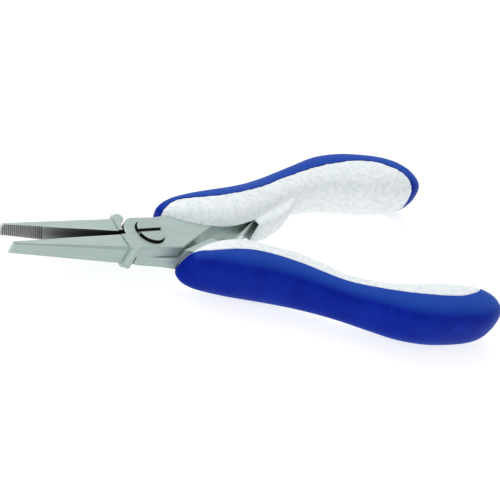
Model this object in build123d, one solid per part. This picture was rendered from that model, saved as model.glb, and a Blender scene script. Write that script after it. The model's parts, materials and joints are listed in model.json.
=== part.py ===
from build123d import *
import math
import os

# Flat nose pliers with a lap joint and two alike halves.
#
# Design frame: the pivot centre at mid thickness is the origin, +X runs back along the handles,
# +Z is up through the screw head. Half A has the lower jaw (-Y), the upper plate (+Z) and the
# handle on the +Y side. Half B is half A turned by 180 degrees about X. Each half is drawn with
# the jaws closed on the X axis and is then turned by half the rest opening.

# ---------------------------------------------------------------- driving dimensions (mm)
REST_HALF_ANGLE = 3.9       # each half stands this many degrees away from closed
THICKNESS = 6.8             # head thickness, both plates together
LAP_GAP = 0.06              # between the two plates
JAW_GAP = 0.06              # left between the jaw faces when closed

JAW_LENGTH = 44.0           # pivot to jaw tip
JAW_ROOT_X = -9.5           # where the taper meets the flat head
TIP_WIDTH = 0.95
TIP_THICKNESS = 3.6
ROOT_WIDTH = 5.1
ROOT_THICKNESS = 5.9        # the jaw starts a small step below the head's faces
JAW_CHAMFER = 0.6
TIP_CHAMFER = 0.35

HEAD_HALF_WIDTH = 5.8
FRONT_RADIUS = 7.2          # rounded front end of a plate
FRONT_CENTRE = (-0.6, -0.7)
SHOULDER_GAP = 0.6          # from a plate's front end to the other half's shoulder
SHOULDER_X = -6.5           # the shoulder ends here at the head's side
LAP_CLEARANCE = 0.35        # from a plate's rear edge to the other half's shoulder
HEEL_X = 8.1                # where the diagonal rear edge starts, at the plate's side
CORNER_X = 22.5             # where it ends, at the tang's inner corner
CORNER_Y = 1.8
BOSS_RADIUS = 1.35          # half-round rib on the outer side of each jaw root
BOSS_X = -7.45
BOSS_INSET = 0.95           # from the head's side to the rib's axis
SIDE_RELIEF = 0.2           # the head's side is this much narrower ahead of the rib and at the heel
EDGE_CHAMFER = 0.25         # on the ground edges of the head

GROOVE_PITCH = 0.62
GROOVE_DEPTH = 0.22
GROOVE_ZONE = 12.6          # serrated length, from the tip
GROOVE_SKEW = 27.0          # degrees from the direction of the pivot

HEAD_RADIUS = 3.95          # pivot screw
HEAD_DEPTH = 1.9
HEAD_RISE = 0.95            # the head stands this far out of the plate
RECESS_GAP = 0.35
SHANK_RADIUS = 2.6
SHANK_CLEARANCE = 0.04
THREAD_RADIUS = 2.1
SLOT_WIDTH = 1.2
SLOT_LENGTH = 8.2           # right across the head
SLOT_DEPTH = 1.0
SLOT_ANGLE = 6.0
HEAD_CHAMFER = 0.12
END_SLOT = (3.0, 0.6, 0.8)  # in the thread's end, half of its depth above the face

LEAF_WIDTH = 5.0            # leaf spring, tapered from the pocket's mouth to its tip
LEAF_TIP_WIDTH = 3.4
LEAF_THICKNESS = 0.5
LEAF_BEND_RADIUS = 5.0
LEAF_FREE_END = [(29.0, 0.1), (25.5, 0.6)]     # tip bend and tip, pliers at rest
LEAF_ROOT = (0.93, 0.13)    # start and end of the flat stretch, as shares of the tang's straight face
LEAF_LIFT = 0.04            # leaf to tang
RIVET_SHARE = 0.62          # place of the rivet along the same face
RIVET_RADIUS = 0.9
RIVET_DEPTH = 2.5           # into the tang
RIVET_HEAD_RADIUS = 1.7
RIVET_HEAD_HEIGHT = 0.5
RIVET_CLEARANCE = 0.03      # round the shank, in the leaf
POCKET_HALF_HEIGHT = 2.9
POCKET_WALL = 1.0
HOOD_ROUNDING = 1.6

SECTION_POWER = 2.6         # fullness of the grip sections, 2 is an ellipse
SECTION_POINTS = 28
GRIP_EASE = 0.02            # grip to tang
NOSE_LEAN = -0.35           # the nose runs forward this much for each mm of height
NOSE_LEAN_END = 22.0        # the lean has faded out here
SEAM_TILT = 0.08            # the seam moves outwards this much for each mm of height

# Grip stations, jaws closed: distance from the pivot, inner side, outer side, half height
GRIP_STATIONS = [
    (8.5, 6.8, 8.6, 1.5),
    (9.0, 6.1, 9.6, 3.0),
    (10.6, 5.2, 10.75, 4.6),
    (13.0, 4.1, 11.75, 5.8),
    (16.2, 2.8, 12.7, 6.6),
    (22.0, 1.3, 13.9, 7.2),
    (28.0, 0.9, 14.7, 7.4),
    (35.0, 2.2, 15.7, 7.2),
    (42.0, 4.5, 17.2, 6.7),
    (49.0, 7.4, 19.3, 6.1),
    (56.0, 10.2, 21.6, 5.9),
    (64.0, 12.3, 24.1, 6.4),
    (72.0, 12.9, 26.6, 6.9),
    (80.0, 12.2, 27.5, 7.3),
    (87.0, 11.6, 27.1, 7.4),
    (94.0, 11.5, 26.1, 7.1),
    (99.0, 12.0, 24.5, 6.4),
    (102.9, 13.4, 22.0, 5.0),
    (105.1, 15.0, 19.8, 3.0),
    (105.7, 16.3, 18.5, 1.2),
]

# Tang edges, jaws closed, from the head backwards
TANG_OUTER = [(6.5, 5.7), (9.2, 6.0), (11.8, 6.6), (16.0, 8.8), (28.0, 10.2), (42.0, 13.4), (56.0, 18.7),
              (72.0, 22.0), (86.0, 21.8), (96.0, 20.2)]
TANG_INNER = [(CORNER_X, CORNER_Y), (28.0, 2.2), (34.0, 3.3), (39.0, 5.0), (53.0, 11.7), (62.0, 15.4),
              (72.0, 17.2), (86.0, 17.2), (96.0, 17.0)]

# Two-colour seam of the grip in plan, jaws closed
SEAM = [(0.0, 4.4), (7.0, 5.8), (10.6, 7.4), (15.0, 8.7), (28.0, 8.8), (42.0, 11.8), (56.0, 16.6),
        (72.0, 20.0), (87.0, 20.6), (96.0, 17.6), (100.0, 13.2), (103.0, 8.0)]

# Spring pocket hood in plan, jaws closed: front root, front corner, knee, back
HOOD = [(38.4, 6.0), (38.6, 0.9), (45.0, 2.6), (52.0, 6.0), (58.0, 10.4), (58.0, 13.5)]

# Inner wall of the pocket in plan, from the mouth to the back; the tang's face closes the outline
POCKET = [(36.0, 4.0), (36.0, 1.2), (44.6, 3.9), (52.6, 7.9), (52.6, 11.6)]

# ---------------------------------------------------------------- worked-out values
HALF = THICKNESS / 2
PLATE_BOTTOM = LAP_GAP / 2
SIDE_Y = -HEAD_HALF_WIDTH + SIDE_RELIEF
HEEL_Y = SIDE_Y
FRONT_TOP_Y = HEAD_HALF_WIDTH - 0.3
HEEL_FRONT = (HEEL_X - 0.6, -HEAD_HALF_WIDTH)
FRONT_CORNER = (-2.6, HEAD_HALF_WIDTH)      # where a plate's side becomes straight
DIAGONAL = math.atan2(CORNER_Y - HEEL_Y, CORNER_X - HEEL_X)
TANG_FACE = TANG_INNER[3:5]                 # the straight stretch that carries the spring
RIVET_HOLE = RIVET_DEPTH + 0.1
HOOD_HALF_HEIGHT = POCKET_HALF_HEIGHT + POCKET_WALL
FAR = 120.0                                 # past every part of one half


def turned(x, y, degrees):
    """A plan point turned about the pivot."""
    angle = math.radians(degrees)
    return (x * math.cos(angle) - y * math.sin(angle), x * math.sin(angle) + y * math.cos(angle))


def slab(outline, low, high):
    """A plan outline, given as edges or points, made solid between two heights."""
    wire = outline if isinstance(outline, Wire) else Wire.make_polygon([Vector(x, y) for x, y in outline])
    return extrude(Plane.XY.offset(low) * make_face(wire.edges()), high - low)


def front_point(y):
    """The point of a plate's rounded front end at a given y."""
    return (FRONT_CENTRE[0] - math.sqrt(FRONT_RADIUS ** 2 - (y - FRONT_CENTRE[1]) ** 2), y)


def ground_edges(plate, height, first_x, last_x):
    """Edges of a flat plate at one height whose middles lie between two distances from the pivot."""
    edges = plate.edges().filter_by(lambda e: abs(e.bounding_box().center().Z - height) < 0.01)
    return edges.filter_by(lambda e: first_x < (e @ 0.5).X < last_x)


# ---------------------------------------------------------------- steel half
def jaw():
    """Tapered jaw below the X axis, with chamfered outer edges."""
    face_y = -JAW_GAP / 2

    def section(x, width, thickness, chamfer):
        z = thickness / 2
        outer = face_y - width
        points = [(x, face_y, -z), (x, face_y, z), (x, outer + chamfer, z), (x, outer, z - chamfer),
                  (x, outer, chamfer - z), (x, outer + chamfer, -z)]
        return Face(Wire.make_polygon([Vector(*p) for p in points]))

    tip = section(-JAW_LENGTH, TIP_WIDTH, TIP_THICKNESS, TIP_CHAMFER)
    root = section(JAW_ROOT_X, ROOT_WIDTH, ROOT_THICKNESS, JAW_CHAMFER)
    return Solid.make_loft([tip.outer_wire(), root.outer_wire()], ruled=True)


def serrations():
    """Skewed V grooves across the gripping face near the tip."""
    count = int(GROOVE_ZONE / GROOVE_PITCH)
    half = GROOVE_PITCH * 0.46
    vee = Polyline((-half, 0.02), (half, 0.02), (0, -GROOVE_DEPTH), close=True)
    groove = extrude(Plane.XY * make_face(vee), THICKNESS, both=True)
    groove = Rot(0, GROOVE_SKEW, 0) * groove
    first_x = -JAW_LENGTH + GROOVE_PITCH
    return [Pos(first_x + i * GROOVE_PITCH, -JAW_GAP / 2, 0) * groove for i in range(count)]


def upper_layer():
    """The plate that laps over the other half, one piece with the tang."""
    face_y = -JAW_GAP / 2
    arc_start = front_point(face_y)
    arc_end = front_point(FRONT_TOP_Y)
    lines = [Edge.make_line((JAW_ROOT_X, face_y), arc_start)]
    lines += [Edge.make_three_point_arc(arc_start, front_point(FRONT_TOP_Y / 2), arc_end)]
    route = [arc_end, FRONT_CORNER] + TANG_OUTER + TANG_INNER[::-1]
    route += [(HEEL_X, HEEL_Y), HEEL_FRONT, (JAW_ROOT_X, SIDE_Y), (JAW_ROOT_X, face_y)]
    lines += [Edge.make_line(a, b) for a, b in zip(route, route[1:])]
    plate = slab(Wire(lines), PLATE_BOTTOM, HALF)
    inner_side = ground_edges(plate, HALF, JAW_ROOT_X, CORNER_X).filter_by(lambda e: (e @ 0.5).Y < CORNER_Y)
    front = ground_edges(plate, HALF, JAW_ROOT_X, TANG_OUTER[0][0]).filter_by(lambda e: (e @ 0.5).Y > face_y)
    return chamfer(inner_side + front, EDGE_CHAMFER)


def lower_layer():
    """Full-thickness jaw root and tang, cut back to clear the other half's plate."""
    face_y = -JAW_GAP / 2
    root_outline = [(JAW_ROOT_X, face_y), (SHOULDER_X, face_y), (SHOULDER_X, SIDE_Y), (JAW_ROOT_X, SIDE_Y)]
    root_block = slab(root_outline, -HALF, PLATE_BOTTOM)
    plate_end = Pos(FRONT_CENTRE[0], -FRONT_CENTRE[1], -HALF / 2)
    root_block -= plate_end * Cylinder(FRONT_RADIUS + SHOULDER_GAP, 2 * HALF)
    # The other half's diagonal is this half's mirrored in Y; the shoulder stands clear of it.
    normal = (math.sin(DIAGONAL) * LAP_CLEARANCE, math.cos(DIAGONAL) * LAP_CLEARANCE)
    slope = math.tan(DIAGONAL)
    start = (HEEL_X + normal[0], -HEEL_Y + normal[1])
    meet_x = (slope * start[0] + start[1] - HEEL_Y + slope * HEEL_X) / (2 * slope)
    meet_y = HEEL_Y + slope * (meet_x - HEEL_X)
    (x0, y0), (x1, y1) = TANG_OUTER[:2]
    rise = (y1 - y0) / (x1 - x0)
    top_x = (start[1] + slope * start[0] - y0 + rise * x0) / (rise + slope)
    top_y = y0 + rise * (top_x - x0)
    outline = [(top_x, top_y)] + TANG_OUTER[1:] + TANG_INNER[::-1] + [(meet_x, meet_y)]
    tang_block = slab(outline, -HALF, PLATE_BOTTOM)
    return root_block + tang_block


def tang_face_normal():
    """Direction out of the straight stretch of the tang's inner face."""
    (x0, y0), (x1, y1) = TANG_FACE
    length = math.hypot(x1 - x0, y1 - y0)
    return ((y1 - y0) / length, (x0 - x1) / length)


def on_tang_face(share, height):
    """A plan point that far along the straight stretch and that high above it."""
    (x0, y0), (x1, y1) = TANG_FACE
    nx, ny = tang_face_normal()
    return (x0 + share * (x1 - x0) + nx * height, y0 + share * (y1 - y0) + ny * height)


def rivet_place():
    """Centre of the spring rivet on the tang's inner face, with the direction out of that face."""
    return on_tang_face(RIVET_SHARE, 0), tang_face_normal()


def along_rivet(radius, start, end):
    """A cylinder on the rivet's axis, with distances counted out of the tang's face."""
    (x, y), (nx, ny) = rivet_place()
    plane = Plane(origin=(x + nx * start, y + ny * start, 0), z_dir=(nx, ny, 0))
    return extrude(plane * Circle(radius), end - start)


def steel_half():
    """One lever: jaw, lap plate and tang."""
    body = upper_layer() + lower_layer() + jaw()
    body += Pos(BOSS_X, -HEAD_HALF_WIDTH + BOSS_INSET, 0) * Cylinder(BOSS_RADIUS, THICKNESS)
    body -= serrations()
    return body - along_rivet(RIVET_RADIUS, -RIVET_HOLE, RIVET_HOLE)


def lever_a():
    """Half A with the recess for the screw head and the hole for its shank."""
    recess = Pos(0, 0, HALF) * Cylinder(HEAD_RADIUS + RECESS_GAP, 2 * HEAD_DEPTH)
    hole = Cylinder(SHANK_RADIUS + SHANK_CLEARANCE, 3 * THICKNESS)
    return steel_half() - recess - hole


def lever_b():
    """Half B in half A's place, with the hole that takes the screw's thread."""
    return steel_half() - Cylinder(THREAD_RADIUS, 3 * THICKNESS)


def pivot_screw():
    """Slotted screw: head a little proud of half A, shank through it, thread in half B."""
    head_bottom = HALF - HEAD_DEPTH + SHANK_CLEARANCE
    head_top = HALF + HEAD_RISE
    head = extrude(Plane.XY.offset(head_bottom) * Circle(HEAD_RADIUS), head_top - head_bottom)
    head = chamfer(head.edges().group_by(Axis.Z)[-1], HEAD_CHAMFER)
    shank = extrude(Plane.XY.offset(-PLATE_BOTTOM) * Circle(SHANK_RADIUS), head_bottom + PLATE_BOTTOM)
    thread = extrude(Plane.XY.offset(-HALF) * Circle(THREAD_RADIUS), HALF - PLATE_BOTTOM)
    slot = Pos(0, 0, head_top) * Rot(0, 0, SLOT_ANGLE) * Box(SLOT_LENGTH, SLOT_WIDTH, 2 * SLOT_DEPTH)
    end_slot = Pos(0, 0, -HALF) * Box(*END_SLOT)
    return head + shank + thread - slot - end_slot


# ---------------------------------------------------------------- grips
def grip_section(x, inner, outer, half_height):
    """Closed super-ellipse across the handle at one station."""
    centre = (inner + outer) / 2
    half_width = (outer - inner) / 2
    power = 2 / SECTION_POWER
    nose_x = GRIP_STATIONS[0][0]
    lean = NOSE_LEAN * max(0.0, (NOSE_LEAN_END - x) / (NOSE_LEAN_END - nose_x))
    points = []
    for i in range(SECTION_POINTS):
        angle = 2 * math.pi * i / SECTION_POINTS
        c, s = math.cos(angle), math.sin(angle)
        y = centre + half_width * math.copysign(abs(c) ** power, c)
        z = half_height * math.copysign(abs(s) ** power, s)
        points.append(Vector(x + lean * z, y, z))
    return Wire([Edge.make_spline(points, periodic=True)])


def grip_body():
    """Whole grip before it is parted by colour."""
    return Solid.make_loft([grip_section(*station) for station in GRIP_STATIONS])


def seam_side():
    """Everything on the outer side of the two-colour seam."""
    seam = Edge.make_spline([Vector(x, y) for x, y in SEAM])
    first, last = SEAM[0], SEAM[-1]
    corners = [last, (FAR, last[1]), (FAR, FAR), (first[0], FAR), first]
    edges = [seam] + [Edge.make_line(a, b) for a, b in zip(corners, corners[1:])]
    return extrude(make_face(edges), FAR, dir=(0, SEAM_TILT, 1), both=True)


def tang_space():
    """Room for the tang inside the grip."""
    outline = TANG_OUTER + TANG_INNER[::-1]
    return slab(outline, -HALF - GRIP_EASE, HALF + GRIP_EASE)


def open_channel():
    """The inner side of the tang stays bare ahead of the spring pocket."""
    mouth_x = HOOD[0][0]
    front = [(0.0, 3.0), (0.0, -FAR), (mouth_x, -FAR), (mouth_x, 4.8)]
    outline = front + [point for point in TANG_INNER[::-1] if point[0] < mouth_x]
    return slab(outline, -HALF - GRIP_EASE, HALF + GRIP_EASE)


def head_space():
    """Room for the head plates of both halves."""
    outline = [FRONT_CORNER] + TANG_OUTER[:3]
    outline += [(CORNER_X, CORNER_Y), (CORNER_X, -FAR), (FRONT_CORNER[0], -FAR)]
    return slab(outline, -HALF - GRIP_EASE, HALF + GRIP_EASE)


def pocket_space():
    """Cavity of the spring pocket, between the tang and the hood's inner wall."""
    return slab(POCKET + [TANG_FACE[0]], -POCKET_HALF_HEIGHT, POCKET_HALF_HEIGHT)


def inner_grip():
    """Light half of the grip, with the hood of the spring pocket."""
    hood = slab(HOOD, -HOOD_HALF_HEIGHT, HOOD_HALF_HEIGHT)
    rims = []
    for height in (-HOOD_HALF_HEIGHT, HOOD_HALF_HEIGHT):
        rims += ground_edges(hood, height, HOOD[1][0], HOOD[4][0]).sort_by(Axis.Y)[:3]
    hood = fillet(rims, HOOD_ROUNDING)
    grip = grip_body() + hood - open_channel() - pocket_space() - tang_space() - head_space()
    grip -= along_rivet(RIVET_RADIUS, -RIVET_HOLE, RIVET_HOLE)
    return grip - seam_side()


def outer_grip():
    """Dark half of the grip, round the outer side and the end of the handle."""
    return (grip_body() & seam_side()) - tang_space() - head_space()


# ---------------------------------------------------------------- leaf spring
def leaf_route():
    """Corners of a leaf's centre line: flat on the tang, then out to the middle plane at rest."""
    root = [on_tang_face(share, LEAF_LIFT + LEAF_THICKNESS / 2) for share in LEAF_ROOT]
    return root + [turned(x, y, -REST_HALF_ANGLE) for x, y in LEAF_FREE_END]


def leaf_spring():
    """Flat strip bent from the pocket to the middle plane."""
    path = FilletPolyline(*leaf_route(), radius=LEAF_BEND_RADIUS)
    section = Plane(origin=path @ 0, x_dir=(0, 0, 1), z_dir=path % 0) * Rectangle(LEAF_WIDTH, LEAF_THICKNESS)
    strip = sweep(section, path) - along_rivet(RIVET_RADIUS + RIVET_CLEARANCE, -RIVET_HOLE, RIVET_HOLE)
    mouth_x, tip_x = HOOD[0][0], LEAF_FREE_END[1][0]
    wide, narrow = LEAF_WIDTH / 2, LEAF_TIP_WIDTH / 2
    taper = [(FAR, wide), (mouth_x, wide), (tip_x, narrow), (0, narrow)]
    outline = taper + [(x, -z) for x, z in taper[::-1]]
    side = Wire.make_polygon([Vector(x, 0, z) for x, z in outline])
    return strip & extrude(make_face(side.edges()), FAR, dir=(0, 1, 0), both=True)


def spring_rivet():
    """Rivet that holds the leaf's root to the tang."""
    leaf_top = LEAF_THICKNESS + 1.5 * LEAF_LIFT
    shank = along_rivet(RIVET_RADIUS, -RIVET_DEPTH, leaf_top)
    return shank + along_rivet(RIVET_HEAD_RADIUS, leaf_top, leaf_top + RIVET_HEAD_HEIGHT)


# ---------------------------------------------------------------- assembly
def as_half_a(shape):
    return Rot(0, 0, REST_HALF_ANGLE) * shape


def as_half_b(shape):
    return Rot(180, 0, 0) * as_half_a(shape)


def main():
    inner = inner_grip()
    outer = outer_grip()
    leaf = leaf_spring()
    rivet = spring_rivet()
    nodes = {
        "steel_half_a": as_half_a(lever_a()),
        "steel_half_b": as_half_b(lever_b()),
        "pivot_screw": pivot_screw(),
        "inner_grip_a": as_half_a(inner),
        "inner_grip_b": as_half_b(inner),
        "outer_grip_a": as_half_a(outer),
        "outer_grip_b": as_half_b(outer),
        "leaf_spring_a": as_half_a(leaf),
        "leaf_spring_b": as_half_b(leaf),
        "spring_rivet_a": as_half_a(rivet),
        "spring_rivet_b": as_half_b(rivet),
    }
    box = Compound(children=[Compound(shape.solids()) for shape in nodes.values()]).bounding_box()
    shift = Pos(-box.center().X, 0, -box.min.Z)
    print("pivot axis at x = %.3f, mid plane at z = %.3f" % (-box.center().X, -box.min.Z))
    print("overall size %.2f x %.2f x %.2f" % tuple(box.size))
    os.makedirs("parts", exist_ok=True)
    for name, shape in nodes.items():
        placed = shift * shape
        export_step(placed, "parts/" + name + ".step")


main()
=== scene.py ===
"""Flat nose pliers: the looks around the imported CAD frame."""
import json
import math

import bmesh
import bpy
from mathutils import Matrix, Vector


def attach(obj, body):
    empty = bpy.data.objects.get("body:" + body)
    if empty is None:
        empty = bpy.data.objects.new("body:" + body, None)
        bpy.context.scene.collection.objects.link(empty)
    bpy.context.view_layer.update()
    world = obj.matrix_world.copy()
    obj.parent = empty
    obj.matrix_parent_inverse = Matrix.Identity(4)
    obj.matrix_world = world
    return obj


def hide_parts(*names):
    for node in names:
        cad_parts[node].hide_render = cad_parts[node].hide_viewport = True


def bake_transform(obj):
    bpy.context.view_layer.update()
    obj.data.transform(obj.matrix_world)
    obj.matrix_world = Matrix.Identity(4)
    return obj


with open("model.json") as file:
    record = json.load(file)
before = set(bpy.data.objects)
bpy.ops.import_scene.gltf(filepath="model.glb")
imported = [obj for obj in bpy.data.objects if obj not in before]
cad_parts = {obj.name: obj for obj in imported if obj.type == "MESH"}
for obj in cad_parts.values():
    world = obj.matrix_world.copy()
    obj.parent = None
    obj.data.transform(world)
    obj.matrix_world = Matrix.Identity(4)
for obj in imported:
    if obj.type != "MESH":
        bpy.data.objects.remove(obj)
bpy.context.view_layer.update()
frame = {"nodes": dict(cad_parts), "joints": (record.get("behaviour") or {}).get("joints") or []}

MM = 0.001
REST_HALF_ANGLE = math.radians(3.9)     # each half stands this far from closed
PIVOT = Vector(frame["joints"][0]["pos_m"])

# Half A's drawing frame has the pivot at its origin and the jaws closed on the X axis.
HALF_A = Matrix.Translation(PIVOT) @ Matrix.Rotation(REST_HALF_ANGLE, 4, "Z") @ Matrix.Scale(MM, 4)
HALF_B = (Matrix.Translation(PIVOT) @ Matrix.Rotation(math.pi, 4, "X")
          @ Matrix.Rotation(REST_HALF_ANGLE, 4, "Z") @ Matrix.Scale(MM, 4))

# ---------------------------------------------------------------- sizes shared with the CAD (mm)
HALF_THICKNESS = 3.4
FIT_GAP = 0.02

# Distance from the pivot, inner side, outer side, half height; both ends close to a point
GRIP_STATIONS = [
    (8.5, 7.7, 7.7, 0.0),
    (9.0, 6.1, 9.6, 3.0),
    (10.6, 5.2, 10.75, 4.6),
    (13.0, 4.1, 11.75, 5.8),
    (16.2, 2.8, 12.7, 6.6),
    (22.0, 1.3, 13.9, 7.2),
    (28.0, 0.9, 14.7, 7.4),
    (35.0, 2.2, 15.7, 7.2),
    (42.0, 4.5, 17.2, 6.7),
    (49.0, 7.4, 19.3, 6.1),
    (56.0, 10.2, 21.6, 5.9),
    (64.0, 12.3, 24.1, 6.4),
    (72.0, 12.9, 26.6, 6.9),
    (80.0, 12.2, 27.5, 7.3),
    (87.0, 11.6, 27.1, 7.4),
    (94.0, 11.5, 26.1, 7.1),
    (99.0, 12.0, 24.5, 6.4),
    (102.9, 13.4, 22.0, 5.0),
    (105.1, 15.0, 19.8, 3.0),
    (105.7, 17.4, 17.4, 0.0),
]
SECTION_POWER = 2.6
NOSE_LEAN = -0.35           # the nose runs forward this much for each mm of height
NOSE_LEAN_END = 22.0
SEAM_TILT = 0.08            # the seam moves outwards this much for each mm of height
SEAM_TILT_ROOM = 2.0        # the tilt fades in over this much of the light side
TANG_OUTER = [(6.5, 5.7), (9.2, 6.0), (11.8, 6.6), (16.0, 8.8), (28.0, 10.2), (42.0, 13.4), (56.0, 18.7),
              (72.0, 22.0), (86.0, 21.8), (96.0, 20.2)]
TANG_INNER = [(22.5, 1.8), (28.0, 2.2), (34.0, 3.3), (39.0, 5.0), (53.0, 11.7), (62.0, 15.4),
              (72.0, 17.2), (86.0, 17.2), (96.0, 17.0)]
SEAM = [(0.0, 4.4), (7.0, 5.8), (10.6, 7.4), (15.0, 8.7), (28.0, 8.8), (42.0, 11.8), (56.0, 16.6),
        (72.0, 20.0), (87.0, 20.6), (96.0, 17.6), (100.0, 13.2), (103.0, 8.0)]
HOOD = [(38.4, 6.0), (38.6, 0.9), (45.0, 2.6), (52.0, 6.0), (58.0, 10.4), (58.0, 13.5)]
HOOD_HALF_HEIGHT = 3.9
POCKET = [(36.0, 4.0), (36.0, 1.2), (44.6, 3.9), (52.6, 7.9), (52.6, 11.6), (39.0, 5.0)]
POCKET_HALF_HEIGHT = 2.9
FRONT_CORNER = (-2.6, 5.8)
FAR = 40.0

LEAF_WIDTH = 5.0
LEAF_TIP_WIDTH = 3.4
LEAF_THICKNESS = 0.5
LEAF_LIFT = 0.04
LEAF_BEND_RADIUS = 5.0
LEAF_ROOT = (0.93, 0.13)                # flat stretch, as shares of the tang's straight face
LEAF_FREE_END = [(29.0, 0.1), (25.5, 0.6)]     # tip bend and tip, pliers at rest

# ---------------------------------------------------------------- finish of the mesh work (mm)
GRIP_ROWS = 190
GRIP_ARC = 44               # steps round the outside of a grip piece
GRIP_WALL = 10              # steps across it, along the seam
ROW_EASING = 0.8            # rows crowd towards the two ends, 0 is even
NOSE_SEARCH = (0.3, 4.0)    # the seam leaves the nose between these stations
TAIL_SEARCH = (10.0, 0.3)   # and the tail from this station to that far before the last
SEAM_END_SLOPE = 1.5        # the seam keeps falling at this slope past its last point
SEAM_HALVINGS = 24          # steps of the search for a place along the seam
HALVINGS = 30               # steps of the other searches
VOXEL = 0.36
SMOOTH_ROUNDS = 8
HOOD_ROUNDING = 1.5
HOOD_SEGMENTS = 6
HOOD_SHARP = math.radians(50.0)
LEAF_STEP = 0.5
LEAF_BEND_STEPS = 8
LEAF_CORNER = 0.1           # softened edge of the strip
LEAF_CORNER_BULGE = 0.03
EASED_EDGE = 0.1 * MM       # bevel on the steel
EASED_SHARP = math.radians(28.0)
MERGE_REACH = 2e-7          # metres; doubled points of the CAD mesh
TINY = 1e-4                 # points closer than this are one
FLAT_ANGLE = math.radians(0.4)
FACE_WEIGHT = 90            # how strongly large faces keep their own normals
CREASE = math.radians(35.0)


# ---------------------------------------------------------------- shader helpers
def new_material(name):
    """An empty node material with one principled shader."""
    material = bpy.data.materials.new(name)
    material.use_nodes = True
    tree = material.node_tree
    tree.nodes.clear()
    output = tree.nodes.new("ShaderNodeOutputMaterial")
    shader = tree.nodes.new("ShaderNodeBsdfPrincipled")
    tree.links.new(shader.outputs["BSDF"], output.inputs["Surface"])
    return material, tree, shader


def noise(tree, scale, detail=4.0, roughness=0.5):
    """Noise in the object's own space; scale is cycles per metre along X, Y and Z."""
    place = tree.nodes.new("ShaderNodeTexCoord")
    mapping = tree.nodes.new("ShaderNodeMapping")
    mapping.inputs["Scale"].default_value = scale
    texture = tree.nodes.new("ShaderNodeTexNoise")
    texture.inputs["Scale"].default_value = 1.0
    texture.inputs["Detail"].default_value = detail
    texture.inputs["Roughness"].default_value = roughness
    tree.links.new(place.outputs["Object"], mapping.inputs["Vector"])
    tree.links.new(mapping.outputs["Vector"], texture.inputs["Vector"])
    return texture.outputs["Fac"]


def ramp(tree, value, stops):
    """Colour ramp through (position, colour) stops."""
    node = tree.nodes.new("ShaderNodeValToRGB")
    elements = node.color_ramp.elements
    while len(elements) < len(stops):
        elements.new(0.5)
    for element, (position, colour) in zip(elements, stops):
        element.position = position
        element.color = (*colour, 1.0)
    tree.links.new(value, node.inputs["Fac"])
    return node.outputs["Color"]


def spread(tree, value, low, high):
    """The middle of a noise value stretched to low..high."""
    node = tree.nodes.new("ShaderNodeMapRange")
    node.inputs["From Min"].default_value = 0.3
    node.inputs["From Max"].default_value = 0.7
    node.inputs["To Min"].default_value = low
    node.inputs["To Max"].default_value = high
    tree.links.new(value, node.inputs["Value"])
    return node.outputs["Result"]


def mix(tree, factor, first, second, kind="MIX"):
    """Two colours mixed or multiplied; each input is a number, a colour or a socket."""
    node = tree.nodes.new("ShaderNodeMix")
    node.data_type = "RGBA"
    node.blend_type = kind
    for socket, item in ((node.inputs["Factor"], factor), (node.inputs[6], first), (node.inputs[7], second)):
        if isinstance(item, (int, float)):
            socket.default_value = item
        elif isinstance(item, tuple):
            socket.default_value = (*item, 1.0)
        else:
            tree.links.new(item, socket)
    return node.outputs[2]


def math_node(tree, operation, first, second=0.0):
    node = tree.nodes.new("ShaderNodeMath")
    node.operation = operation
    for socket, item in zip(node.inputs, (first, second)):
        if isinstance(item, (int, float)):
            socket.default_value = item
        else:
            tree.links.new(item, socket)
    return node.outputs["Value"]


def bump(tree, shader, layers):
    """Stacked bumps from (height, distance in metres, strength) layers."""
    last = None
    for height, distance, strength in layers:
        node = tree.nodes.new("ShaderNodeBump")
        node.inputs["Distance"].default_value = distance
        node.inputs["Strength"].default_value = strength
        tree.links.new(height, node.inputs["Height"])
        if last is not None:
            tree.links.new(last, node.inputs["Normal"])
        last = node.outputs["Normal"]
    tree.links.new(last, shader.inputs["Normal"])


# ---------------------------------------------------------------- materials
BLACK = (0.0, 0.0, 0.0)
WHITE = (1.0, 1.0, 1.0)
# painted shade: near black, put into gaps and recesses, on the screw's side faces and at the head's front
# ends
PAINTED_SHADE = (0.012, 0.014, 0.014)
# painted shade for the gripping faces, from deep in the jaw gap to open
PAINTED_JAW_SHADE = [(0.3, (0.02, 0.02, 0.018)), (0.6, (0.09, 0.088, 0.08)), (0.95, (0.46, 0.48, 0.46))]
LEVER_COLOUR = (0.52, 0.61, 0.575)
SCREW_COLOUR = (0.55, 0.63, 0.59)
LEAF_COLOUR = (0.60, 0.69, 0.66)
# painted shade for steel faces that look sideways
PAINTED_SIDE_SHADE = (0.84, 0.87, 0.87)
BLUE_DEEP = (0.0005, 0.006, 0.22)
BLUE_BRIGHT = (0.002, 0.024, 0.36)
# painted highlight for blue faces that look up or down
BLUE_PAINTED_HIGHLIGHT = (0.018, 0.075, 0.40)
FLECK_COLOUR = (0.60, 0.66, 0.68)
STEEL_METALLIC = 0.82
PAPER_COLOUR = (0.4, 0.4, 0.404)
PAPER_GLOW = 0.74
AO_SAMPLES = 12
CREVICE_REACH = 0.9 * MM
LEAF_CREVICE_REACH = 0.6 * MM
JAW_GAP_REACH = 5.0 * MM                # how far a gripping face looks for the other jaw
JAW_START = 6.0 * MM                    # the jaws are further ahead of the pivot than this
HEAD_FRONT_REACH = (8.6 * MM, 3.0 * MM)     # the round front ends lie between these, ahead of the pivot
HEAD_FRONT_SLANT = 0.6                  # and the first limit moves back with distance from the X axis


def openness(tree, reach):
    """Share of the space round a point that is free within a distance in metres."""
    node = tree.nodes.new("ShaderNodeAmbientOcclusion")
    node.samples = AO_SAMPLES
    node.inputs["Distance"].default_value = reach
    return node.outputs["AO"]


def crevice(tree, reach):
    """0 deep in a gap or recess, 1 on open surfaces."""
    return ramp(tree, openness(tree, reach), [(0.3, BLACK), (0.64, WHITE)])


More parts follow.
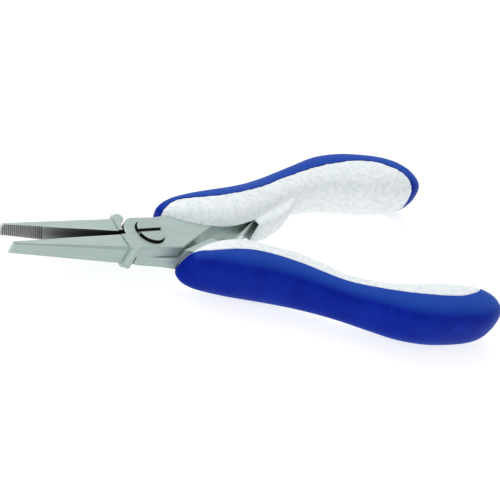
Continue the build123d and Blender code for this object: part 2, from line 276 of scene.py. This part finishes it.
def coordinates(tree, kind):
    """X, Y and Z of the piece's own Normal or Object coordinates."""
    place = tree.nodes.new("ShaderNodeTexCoord")
    parts = tree.nodes.new("ShaderNodeSeparateXYZ")
    tree.links.new(place.outputs[kind], parts.inputs["Vector"])
    return parts.outputs


def facing(tree, axis):
    """How squarely a surface faces along an axis of the piece, either way, from 0 to 1."""
    return math_node(tree, "ABSOLUTE", coordinates(tree, "Normal")[axis])


def gripping_face(tree):
    """1 on the jaw faces that look at the other jaw, 0 elsewhere."""
    spot = coordinates(tree, "Object")
    side = math_node(tree, "SIGN", math_node(tree, "SUBTRACT", spot["Y"], PIVOT.y))
    outward = math_node(tree, "MULTIPLY", coordinates(tree, "Normal")["Y"], side)
    inward = math_node(tree, "MULTIPLY", outward, -1.0)
    ahead = math_node(tree, "LESS_THAN", spot["X"], PIVOT.x - JAW_START)
    return math_node(tree, "MULTIPLY", math_node(tree, "GREATER_THAN", inward, 0.25), ahead)


def head_front(tree):
    """1 on the round front ends of the head plates, which face the shoulders across a narrow gap."""
    spot = coordinates(tree, "Object")
    first, last = HEAD_FRONT_REACH
    aside = math_node(tree, "ABSOLUTE", math_node(tree, "SUBTRACT", spot["Y"], PIVOT.y))
    slanted = math_node(tree, "SUBTRACT", spot["X"], math_node(tree, "MULTIPLY", aside, HEAD_FRONT_SLANT))
    behind = math_node(tree, "GREATER_THAN", slanted, PIVOT.x - first)
    ahead = math_node(tree, "LESS_THAN", spot["X"], PIVOT.x - last)
    upright = math_node(tree, "LESS_THAN", facing(tree, "Z"), 0.5)
    across = math_node(tree, "GREATER_THAN", facing(tree, "X"), 0.4)
    zone = math_node(tree, "MULTIPLY", behind, ahead)
    return math_node(tree, "MULTIPLY", zone, math_node(tree, "MULTIPLY", upright, across))


def ground_steel(name, colour, along, rough=(0.5, 0.6), reach=CREVICE_REACH):
    """Ground steel: fine lines along X, a faint cloud, and painted shade that darkens the gaps and recesses.

    The caller finishes the returned tone and links it to the shader.
    """
    material, tree, shader = new_material(name)
    fine = noise(tree, (along, 5200.0, 5200.0), 3.0)
    broad = noise(tree, (along * 0.4, 1300.0, 1300.0), 2.0)
    cloud = noise(tree, (110.0, 160.0, 160.0), 5.0)
    dark = tuple(0.92 * c for c in colour)
    light = tuple(min(1.0, 1.04 * c) for c in colour)
    lines = ramp(tree, broad, [(0.35, dark), (0.65, light)])
    tone = mix(tree, 0.35, lines, ramp(tree, cloud, [(0.35, dark), (0.7, light)]))
    # painted shade: gaps and recesses darkened towards near black where little space is open
    tone = mix(tree, crevice(tree, reach), PAINTED_SHADE, tone)
    tree.links.new(spread(tree, fine, *rough), shader.inputs["Roughness"])
    shader.inputs["Metallic"].default_value = STEEL_METALLIC
    bump(tree, shader, [(fine, 0.000012, 0.3), (broad, 0.00002, 0.2), (cloud, 0.00015, 0.12)])
    return material, tree, shader, tone


def lever_steel():
    """The levers: ground steel, with painted shade on the gripping faces, darker towards the pivot where the
    other jaw is near, on side faces and at the head's round front ends.
    """
    material, tree, shader, tone = ground_steel("ground_steel", LEVER_COLOUR, 170.0)
    # painted shade: gripping faces darkened where the other jaw is near
    jaw_shade = ramp(tree, openness(tree, JAW_GAP_REACH), PAINTED_JAW_SHADE)
    # painted shade: faces that look along Y are darkened
    side_shade = ramp(tree, facing(tree, "Y"), [(0.6, WHITE), (0.9, PAINTED_SIDE_SHADE)])
    tone = mix(tree, 1.0, tone, side_shade, "MULTIPLY")
    tone = mix(tree, gripping_face(tree), tone, jaw_shade)
    # painted shade in the narrow gap at the head plates' round front ends
    tone = mix(tree, head_front(tree), tone, PAINTED_SHADE)
    tree.links.new(tone, shader.inputs["Base Color"])
    return material


def screw_steel():
    """The screw and rivets: bright ground top, with painted shade making the side faces and the walls of the
    slot near black.
    """
    material, tree, shader, tone = ground_steel("screw_steel", SCREW_COLOUR, 420.0, (0.36, 0.46))
    # painted shade: faces that do not look up or down, the head's side and the slot walls, go near black
    top = ramp(tree, facing(tree, "Z"), [(0.45, BLACK), (0.62, WHITE)])
    tree.links.new(mix(tree, top, PAINTED_SHADE, tone), shader.inputs["Base Color"])
    return material


def spring_steel():
    """The leaves: brighter rolled strip."""
    material, tree, shader, tone = ground_steel("spring_steel", LEAF_COLOUR, 120.0, (0.3, 0.42),
                                                LEAF_CREVICE_REACH)
    tree.links.new(tone, shader.inputs["Base Color"])
    return material


def light_rubber():
    """Light moulded grip: cool white with a faint grey mottle, short flecks and a fine grain."""
    material, tree, shader = new_material("light_moulded_grip")
    mottle = noise(tree, (820.0, 1000.0, 1000.0), 5.0, 0.6)
    flecks = noise(tree, (1700.0, 2400.0, 2400.0), 3.0, 0.6)
    grain = noise(tree, (4200.0, 4200.0, 4200.0), 2.0)
    ground = ramp(tree, mottle, [(0.34, (0.72, 0.76, 0.77)), (0.5, (0.84, 0.87, 0.87)),
                                (0.66, (0.92, 0.93, 0.93))])
    fleck_mask = ramp(tree, flecks, [(0.58, BLACK), (0.72, (0.45, 0.45, 0.45))])
    tone = mix(tree, fleck_mask, ground, FLECK_COLOUR)
    tree.links.new(tone, shader.inputs["Base Color"])
    tree.links.new(spread(tree, mottle, 0.62, 0.5), shader.inputs["Roughness"])
    shader.inputs["Subsurface Weight"].default_value = 0.08
    shader.inputs["Subsurface Radius"].default_value = (0.0012, 0.0012, 0.0014)
    bump(tree, shader, [(grain, 0.00004, 0.35), (flecks, 0.00008, 0.3), (mottle, 0.0001, 0.25)])
    return material


def blue_rubber():
    """Dark blue moulded grip: faint cloudy tone, fine matt grain, and a painted highlight that makes it paler
    where it faces up or down.
    """
    material, tree, shader = new_material("blue_moulded_grip")
    cloud = noise(tree, (160.0, 160.0, 160.0), 4.0)
    grain = noise(tree, (2600.0, 2600.0, 2600.0), 3.0, 0.6)
    tone = mix(tree, 0.5, ramp(tree, cloud, [(0.3, BLUE_DEEP), (0.7, BLUE_BRIGHT)]),
               ramp(tree, grain, [(0.35, BLUE_DEEP), (0.65, BLUE_BRIGHT)]))
    # painted highlight: faces that look up or down are paler
    top_highlight = ramp(tree, facing(tree, "Z"), [(0.6, BLACK), (0.97, (0.75, 0.75, 0.75))])
    tone = mix(tree, top_highlight, tone, BLUE_PAINTED_HIGHLIGHT)
    tree.links.new(tone, shader.inputs["Base Color"])
    tree.links.new(spread(tree, grain, 0.5, 0.62), shader.inputs["Roughness"])
    shader.inputs["Specular IOR Level"].default_value = 0.06
    shader.inputs["Sheen Weight"].default_value = 0.22
    shader.inputs["Sheen Roughness"].default_value = 0.4
    shader.inputs["Sheen Tint"].default_value = (0.2, 0.5, 1.0, 1.0)
    bump(tree, shader, [(grain, 0.00005, 0.45), (cloud, 0.0002, 0.15)])
    return material


def paper():
    """Plain studio paper with a barely visible tooth, glowing a little so that shadows stay faint."""
    material, tree, shader = new_material("pale_paper")
    tooth = noise(tree, (700.0, 700.0, 700.0), 3.0)
    tree.links.new(ramp(tree, tooth, [(0.3, tuple(0.985 * c for c in PAPER_COLOUR)), (0.7, PAPER_COLOUR)]),
                   shader.inputs["Base Color"])
    shader.inputs["Roughness"].default_value = 0.9
    shader.inputs["Emission Color"].default_value = (*WHITE, 1.0)
    shader.inputs["Emission Strength"].default_value = PAPER_GLOW
    return material


STEEL = lever_steel()
SCREW_STEEL = screw_steel()
SPRING_STEEL = spring_steel()
LIGHT_GRIP = light_rubber()
BLUE_GRIP = blue_rubber()


# ---------------------------------------------------------------- mesh helpers
def link(name, mesh):
    piece = bpy.data.objects.new(name, mesh)
    bpy.context.scene.collection.objects.link(piece)
    return piece


def mesh_from(name, vertices, faces):
    """A clean mesh with its normals outwards."""
    mesh = bpy.data.meshes.new(name)
    mesh.from_pydata([tuple(v) for v in vertices], [], faces)
    work = bmesh.new()
    work.from_mesh(mesh)
    bmesh.ops.remove_doubles(work, verts=work.verts, dist=TINY)
    bmesh.ops.dissolve_degenerate(work, edges=work.edges, dist=TINY)
    bmesh.ops.recalc_face_normals(work, faces=work.faces)
    work.to_mesh(mesh)
    work.free()
    return mesh


def apply_all(piece):
    """Puts the result of the piece's modifiers into its mesh."""
    graph = bpy.context.evaluated_depsgraph_get()
    graph.update()
    mesh = bpy.data.meshes.new_from_object(piece.evaluated_get(graph))
    old = piece.data
    piece.modifiers.clear()
    piece.data = mesh
    bpy.data.meshes.remove(old)
    return piece


def slab(name, outline, low, high):
    """A plan outline made solid between two heights."""
    count = len(outline)
    vertices = [(x, y, z) for z in (low, high) for x, y in outline]
    faces = [tuple(range(count))[::-1], tuple(range(count, 2 * count))]
    faces += [(i, (i + 1) % count, count + (i + 1) % count, count + i) for i in range(count)]
    return link(name, mesh_from(name, vertices, faces))


def combine(piece, other, operation):
    """Boolean with another object, which is used up."""
    modifier = piece.modifiers.new("cut", "BOOLEAN")
    modifier.operation = operation
    modifier.solver = "EXACT"
    modifier.object = other
    apply_all(piece)
    bpy.data.objects.remove(other)
    return piece


def smooth_shaded(piece):
    """Smooth shading with creases at the sharper edges."""
    for polygon in piece.data.polygons:
        polygon.use_smooth = True
    work = bmesh.new()
    work.from_mesh(piece.data)
    for edge in work.edges:
        edge.smooth = len(edge.link_faces) == 2 and edge.calc_face_angle(0.0) < CREASE
    work.to_mesh(piece.data)
    work.free()
    return piece


def finish_piece(piece, material, matrix, body, node):
    """Puts a piece in place with its material, hides the CAD node it stands in for and, given a body, hangs
    it on that body's empty.
    """
    piece.data.transform(matrix)
    piece.data.materials.clear()
    piece.data.materials.append(material)
    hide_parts(node)
    if body:
        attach(piece, body)
    return piece


# ---------------------------------------------------------------- grips
def curve_through(points, position):
    """Catmull-Rom value of a list of equally long tuples at a position counted in points."""
    i = min(max(int(position), 0), len(points) - 2)
    t = position - i
    before = points[max(i - 1, 0)]
    start, end = points[i], points[i + 1]
    after = points[min(i + 2, len(points) - 1)]
    values = []
    for a, b, c, d in zip(before, start, end, after):
        values.append(0.5 * (2 * b + (c - a) * t + (2 * a - 5 * b + 4 * c - d) * t * t
                             + (3 * b - a - 3 * c + d) * t * t * t))
    return values


def seam_y(x):
    """Side-to-side place of the two-colour seam at a distance from the pivot."""
    for i in range(len(SEAM) - 1):
        if x <= SEAM[i + 1][0] or i == len(SEAM) - 2:
            low, high = float(i), float(i + 1)
            for _ in range(SEAM_HALVINGS):
                middle = (low + high) / 2
                if curve_through(SEAM, middle)[0] < x:
                    low = middle
                else:
                    high = middle
            past = max(0.0, x - SEAM[-1][0])
            return curve_through(SEAM, low)[1] - SEAM_END_SLOPE * past


def seam_share(position):
    """The seam's place across the section, from -1 at the inner side to 1 at the outer side."""
    x, inner, outer, _ = curve_through(GRIP_STATIONS, position)
    half_width = max((outer - inner) / 2, 1e-6)
    return (seam_y(x) - (inner + outer) / 2) / half_width


def crossing(low, high):
    """Where the seam meets the grip's inner side."""
    rising = seam_share(low) < -1
    for _ in range(HALVINGS):
        middle = (low + high) / 2
        if (seam_share(middle) < -1) == rising:
            low = middle
        else:
            high = middle
    return (low + high) / 2


def seam_angle(shape, seam, tilt, side):
    """Angle round a section where the tilted seam meets its top (side 1) or its underside (side -1)."""
    centre, half_width, half_height = shape
    power = 2 / SECTION_POWER
    low, high = 0.0, math.pi
    for _ in range(HALVINGS):
        middle = (low + high) / 2
        c = math.cos(middle)
        y = centre + half_width * math.copysign(abs(c) ** power, c)
        z = side * half_height * math.sin(middle) ** power
        if y > seam + tilt * z:
            low = middle
        else:
            high = middle
    return (low + high) / 2


def section(position, outer_side):
    """One closed ring of a grip piece: its arc and the wall along the seam."""
    x, inner, outer, half_height = curve_through(GRIP_STATIONS, position)
    centre, half_width = (inner + outer) / 2, (outer - inner) / 2
    seam = seam_y(x)
    tilt = SEAM_TILT * min(max((seam - inner) / SEAM_TILT_ROOM, 0.0), 1.0)
    lean = NOSE_LEAN * max(0.0, (NOSE_LEAN_END - x) / (NOSE_LEAN_END - GRIP_STATIONS[0][0]))
    shape = (centre, half_width, half_height)
    top, under = (seam_angle(shape, seam, tilt, side) for side in (1, -1))
    first, last = (-under, top) if outer_side else (top, 2 * math.pi - under)
    ring = []
    power = 2 / SECTION_POWER
    for i in range(GRIP_ARC + 1):
        angle = first + (last - first) * i / GRIP_ARC
        c, s = math.cos(angle), math.sin(angle)
        z = half_height * math.copysign(abs(s) ** power, s)
        ring.append((x + lean * z, centre + half_width * math.copysign(abs(c) ** power, c), z))
    start, end = Vector(ring[0]), Vector(ring[-1])
    ring += [tuple(end.lerp(start, i / GRIP_WALL)) for i in range(1, GRIP_WALL)]
    return ring


def grip_loft(name, outer_side):
    """Closed skin of one colour of the grip."""
    last = len(GRIP_STATIONS) - 1.0
    first_position, last_position = 0.0, last
    if not outer_side:
        first_position = crossing(*NOSE_SEARCH)
        last_position = crossing(TAIL_SEARCH[0], last - TAIL_SEARCH[1])
    rows = []
    for i in range(GRIP_ROWS + 1):
        t = i / GRIP_ROWS
        eased = t - math.sin(2 * math.pi * t) / (2 * math.pi) * ROW_EASING
        rows.append(section(first_position + (last_position - first_position) * eased, outer_side))
    ring = len(rows[0])
    vertices = [point for row in rows for point in row]
    faces = []
    for r in range(GRIP_ROWS):
        for i in range(ring):
            j = (i + 1) % ring
            faces.append((r * ring + i, r * ring + j, (r + 1) * ring + j, (r + 1) * ring + i))
    faces.append(tuple(range(ring))[::-1])
    faces.append(tuple(range(GRIP_ROWS * ring, (GRIP_ROWS + 1) * ring)))
    return link(name, mesh_from(name, vertices, faces))


def tang_room(name):
    """Room for the tang."""
    outline = TANG_OUTER + TANG_INNER[::-1]
    return slab(name, outline, -HALF_THICKNESS - FIT_GAP, HALF_THICKNESS + FIT_GAP)


def head_room(name):
    """Room for the head plates of both halves."""
    corner = TANG_INNER[0]
    outline = [FRONT_CORNER] + TANG_OUTER[:3] + [corner, (corner[0], -FAR), (FRONT_CORNER[0], -FAR)]
    return slab(name, outline, -HALF_THICKNESS - FIT_GAP, HALF_THICKNESS + FIT_GAP)


def channel(name):
    """The tang's inner face is bare ahead of the spring pocket."""
    mouth = HOOD[0][0]
    outline = [(0.0, 3.0), (0.0, -FAR), (mouth, -FAR), (mouth, 4.8)]
    outline += [point for point in TANG_INNER[::-1] if point[0] < mouth]
    return slab(name, outline, -HALF_THICKNESS - FIT_GAP, HALF_THICKNESS + FIT_GAP)


def hood(name):
    """Rounded bulge over the spring pocket."""
    piece = slab(name, HOOD, -HOOD_HALF_HEIGHT, HOOD_HALF_HEIGHT)
    modifier = piece.modifiers.new("round", "BEVEL")
    modifier.width = HOOD_ROUNDING
    modifier.segments = HOOD_SEGMENTS
    modifier.limit_method = "ANGLE"
    modifier.angle_limit = HOOD_SHARP
    return apply_all(piece)


def remesh(piece):
    """Even, slightly smoothed skin, so that the hood flows into the grip."""
    modifier = piece.modifiers.new("even", "REMESH")
    modifier.mode = "VOXEL"
    modifier.voxel_size = VOXEL
    soften = piece.modifiers.new("soften", "SMOOTH")
    soften.factor = 0.5
    soften.iterations = SMOOTH_ROUNDS
    return apply_all(piece)


def inner_grip():
    """Light side of a grip, with the hood of the spring pocket."""
    piece = grip_loft("light_grip", False)
    combine(piece, hood("hood"), "UNION")
    remesh(piece)
    for cutter in (tang_room("room"), head_room("head"), channel("channel")):
        combine(piece, cutter, "DIFFERENCE")
    combine(piece, slab("pocket", POCKET, -POCKET_HALF_HEIGHT, POCKET_HALF_HEIGHT), "DIFFERENCE")
    return piece


def outer_grip():
    """Blue side of a grip."""
    piece = grip_loft("blue_grip", True)
    for cutter in (tang_room("room"), head_room("head")):
        combine(piece, cutter, "DIFFERENCE")
    return piece


def add_grips():
    """Both colours of both grips."""
    for matrix, body, letter in ((HALF_A, "half_a", "a"), (HALF_B, "half_b", "b")):
        light = inner_grip()
        light.name = "light_grip_" + letter
        smooth_shaded(finish_piece(light, LIGHT_GRIP, matrix, body, "inner_grip_" + letter))
        blue = outer_grip()
        blue.name = "blue_grip_" + letter
        smooth_shaded(finish_piece(blue, BLUE_GRIP, matrix, body, "outer_grip_" + letter))


# ---------------------------------------------------------------- leaf springs
def closed(x, y):
    """A plan point of the pliers at rest, in the closed drawing frame."""
    angle = -REST_HALF_ANGLE
    return Vector((x * math.cos(angle) - y * math.sin(angle), x * math.sin(angle) + y * math.cos(angle)))


def leaf_line():
    """Centre line of a leaf: root, round bend, straight blade, round bend, tip."""
    start, end = (Vector(point) for point in TANG_INNER[3:5])
    along = (end - start).normalized()
    out = Vector((along.y, -along.x))
    lift = LEAF_LIFT + LEAF_THICKNESS / 2
    corners = [start + share * (end - start) + out * lift for share in LEAF_ROOT]
    corners += [closed(x, y) for x, y in LEAF_FREE_END]
    line = [corners[0]]
    for before, corner, after in zip(corners, corners[1:], corners[2:]):
        arrive = (corner - before).normalized()
        leave = (after - corner).normalized()
        turn = arrive.angle(leave)
        reach = LEAF_BEND_RADIUS * math.tan(turn / 2)
        first, last = corner - arrive * reach, corner + leave * reach
        for i in range(LEAF_BEND_STEPS + 1):
            t = i / LEAF_BEND_STEPS
            line.append((1 - t) ** 2 * first + 2 * t * (1 - t) * corner + t * t * last)
    line.append(corners[-1])
    fine = []
    for a, b in zip(line, line[1:]):
        steps = max(1, int((b - a).length / LEAF_STEP))
        fine += [a.lerp(b, i / steps) for i in range(steps)]
    return fine + [line[-1]]


def leaf_section():
    """Strip section with softened edges: (across, through) pairs."""
    w, t, r, b = LEAF_WIDTH / 2, LEAF_THICKNESS / 2, LEAF_CORNER, LEAF_CORNER_BULGE
    return [(-w + r, -t), (w - r, -t), (w - b, -t + b), (w, -t + r), (w, t - r), (w - b, t - b),
            (w - r, t), (-w + r, t), (-w + b, t - b), (-w, t - r), (-w, -t + r), (-w + b, -t + b)]


def leaf_spring(name, matrix, node):
    """One leaf, narrower towards its tip, drawn where its half stands at rest and not hung on either half."""
    line = leaf_line()
    ring = leaf_section()
    vertices = []
    for i, point in enumerate(line):
        ahead = line[min(i + 1, len(line) - 1)] - line[max(i - 1, 0)]
        ahead.normalize()
        side = Vector((-ahead.y, ahead.x))
        reach = min(max((HOOD[0][0] - point.x) / (HOOD[0][0] - LEAF_FREE_END[1][0]), 0.0), 1.0)
        width = 1.0 + reach * (LEAF_TIP_WIDTH / LEAF_WIDTH - 1.0)
        vertices += [(point.x + side.x * t, point.y + side.y * t, w * width) for w, t in ring]
    count = len(ring)
    faces = [tuple(range(count))[::-1], tuple(range((len(line) - 1) * count, len(line) * count))]
    for r in range(len(line) - 1):
        for i in range(count):
            j = (i + 1) % count
            faces.append((r * count + i, r * count + j, (r + 1) * count + j, (r + 1) * count + i))
    piece = link(name, mesh_from(name, vertices, faces))
    finish_piece(piece, SPRING_STEEL, matrix, None, node)
    smooth_shaded(piece)
    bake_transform(piece)
    return piece


def add_leaves():
    """Both leaf springs."""
    leaf_spring("leaf_blade_a", HALF_A, "leaf_spring_a")
    leaf_spring("leaf_blade_b", HALF_B, "leaf_spring_b")


# ---------------------------------------------------------------- steel
def eased_copy(node, name, material, body):
    """The CAD piece with every sharp edge broken by a fine bevel, as a tumbled steel part has."""
    mesh = frame["nodes"][node].data.copy()
    work = bmesh.new()
    work.from_mesh(mesh)
    bmesh.ops.remove_doubles(work, verts=work.verts, dist=MERGE_REACH)
    bmesh.ops.dissolve_limit(work, angle_limit=FLAT_ANGLE, verts=work.verts, edges=work.edges)
    work.to_mesh(mesh)
    work.free()
    piece = link(name, mesh)
    modifier = piece.modifiers.new("ease", "BEVEL")
    modifier.width = EASED_EDGE
    modifier.segments = 2
    modifier.limit_method = "ANGLE"
    modifier.angle_limit = EASED_SHARP
    weigh = piece.modifiers.new("weigh", "WEIGHTED_NORMAL")
    weigh.mode = "FACE_AREA"
    weigh.weight = FACE_WEIGHT
    for polygon in piece.data.polygons:
        polygon.use_smooth = True
    apply_all(piece)
    return finish_piece(piece, material, Matrix.Identity(4), body, node)


def add_steel():
    """Levers and screw as eased copies; the rivets stay CAD pieces with their own material."""
    for letter in "ab":
        eased_copy("steel_half_" + letter, "steel_lever_" + letter, STEEL, "half_" + letter)
    eased_copy("pivot_screw", "slotted_screw", SCREW_STEEL, "half_b")
    for node in ("spring_rivet_a", "spring_rivet_b"):
        frame["nodes"][node].data.materials.clear()
        frame["nodes"][node].data.materials.append(SCREW_STEEL)


# ---------------------------------------------------------------- studio
VIEW_AZIMUTH = math.radians(-46.43)     # 0 looks along +Y
VIEW_ELEVATION = math.radians(32.23)
VIEW_ROLL = math.radians(30.82)
VIEW_TARGET = PIVOT + Vector((33.5, -2.06, 0.0)) * MM
VIEW_DISTANCE = 1.507
LENS = 414.5                            # mm, long, on a sensor of the next width
SENSOR_WIDTH = 36.0
FLOOR_REACH = 3.0
FLOOR_HEIGHT = -0.0002
SKY_COLOUR = (0.93, 0.97, 1.0)
SKY_STRENGTH = 0.62
# Place from the middle of the view in metres, size in metres, power in watts
KEY_LIGHT = ((-0.15, 0.75, 0.95), 0.9, 7.0)
FRONT_LIGHT = ((-0.8, -0.6, 0.7), 1.0, 3.5)


def add_camera():
    """Camera at the viewing angle, rolled about its own axis."""
    data = bpy.data.cameras.new("camera")
    data.lens = LENS
    data.sensor_width = SENSOR_WIDTH
    camera = bpy.data.objects.new("camera", data)
    bpy.context.scene.collection.objects.link(camera)
    level_right = Vector((math.cos(VIEW_AZIMUTH), math.sin(VIEW_AZIMUTH), 0.0))
    back = Vector((math.sin(VIEW_AZIMUTH) * math.cos(VIEW_ELEVATION),
                   -math.cos(VIEW_AZIMUTH) * math.cos(VIEW_ELEVATION), math.sin(VIEW_ELEVATION)))
    level_up = back.cross(level_right)
    right = math.cos(VIEW_ROLL) * level_right + math.sin(VIEW_ROLL) * level_up
    up = back.cross(right)
    turn = Matrix((right, up, back)).transposed().to_4x4()
    camera.matrix_world = Matrix.Translation(VIEW_TARGET + back * VIEW_DISTANCE) @ turn
    bpy.context.scene.camera = camera


def add_light(name, place, size, power):
    """Square softbox aimed at the pliers; place is in metres from the middle of the view."""
    data = bpy.data.lights.new(name, "AREA")
    data.shape = "SQUARE"
    data.size = size
    data.energy = power
    light = bpy.data.objects.new(name, data)
    bpy.context.scene.collection.objects.link(light)
    spot = VIEW_TARGET + Vector(place)
    light.matrix_world = Matrix.Translation(spot) @ Vector(place).to_track_quat("Z", "Y").to_matrix().to_4x4()


def add_studio():
    """Pale floor, even sky and two softboxes."""
    corners = [(-FLOOR_REACH, -FLOOR_REACH), (FLOOR_REACH, -FLOOR_REACH), (FLOOR_REACH, FLOOR_REACH),
               (-FLOOR_REACH, FLOOR_REACH)]
    floor = link("floor", mesh_from("floor", [(x, y, FLOOR_HEIGHT) for x, y in corners], [(0, 1, 2, 3)]))
    floor.data.materials.append(paper())
    world = bpy.data.worlds.new("studio")
    world.use_nodes = True
    sky = world.node_tree.nodes["Background"]
    sky.inputs["Color"].default_value = (*SKY_COLOUR, 1.0)
    sky.inputs["Strength"].default_value = SKY_STRENGTH
    bpy.context.scene.world = world
    add_light("key", *KEY_LIGHT)
    add_light("front", *FRONT_LIGHT)
    bpy.context.scene.view_settings.view_transform = "Standard"


add_camera()
add_steel()
add_leaves()
add_grips()
add_studio()
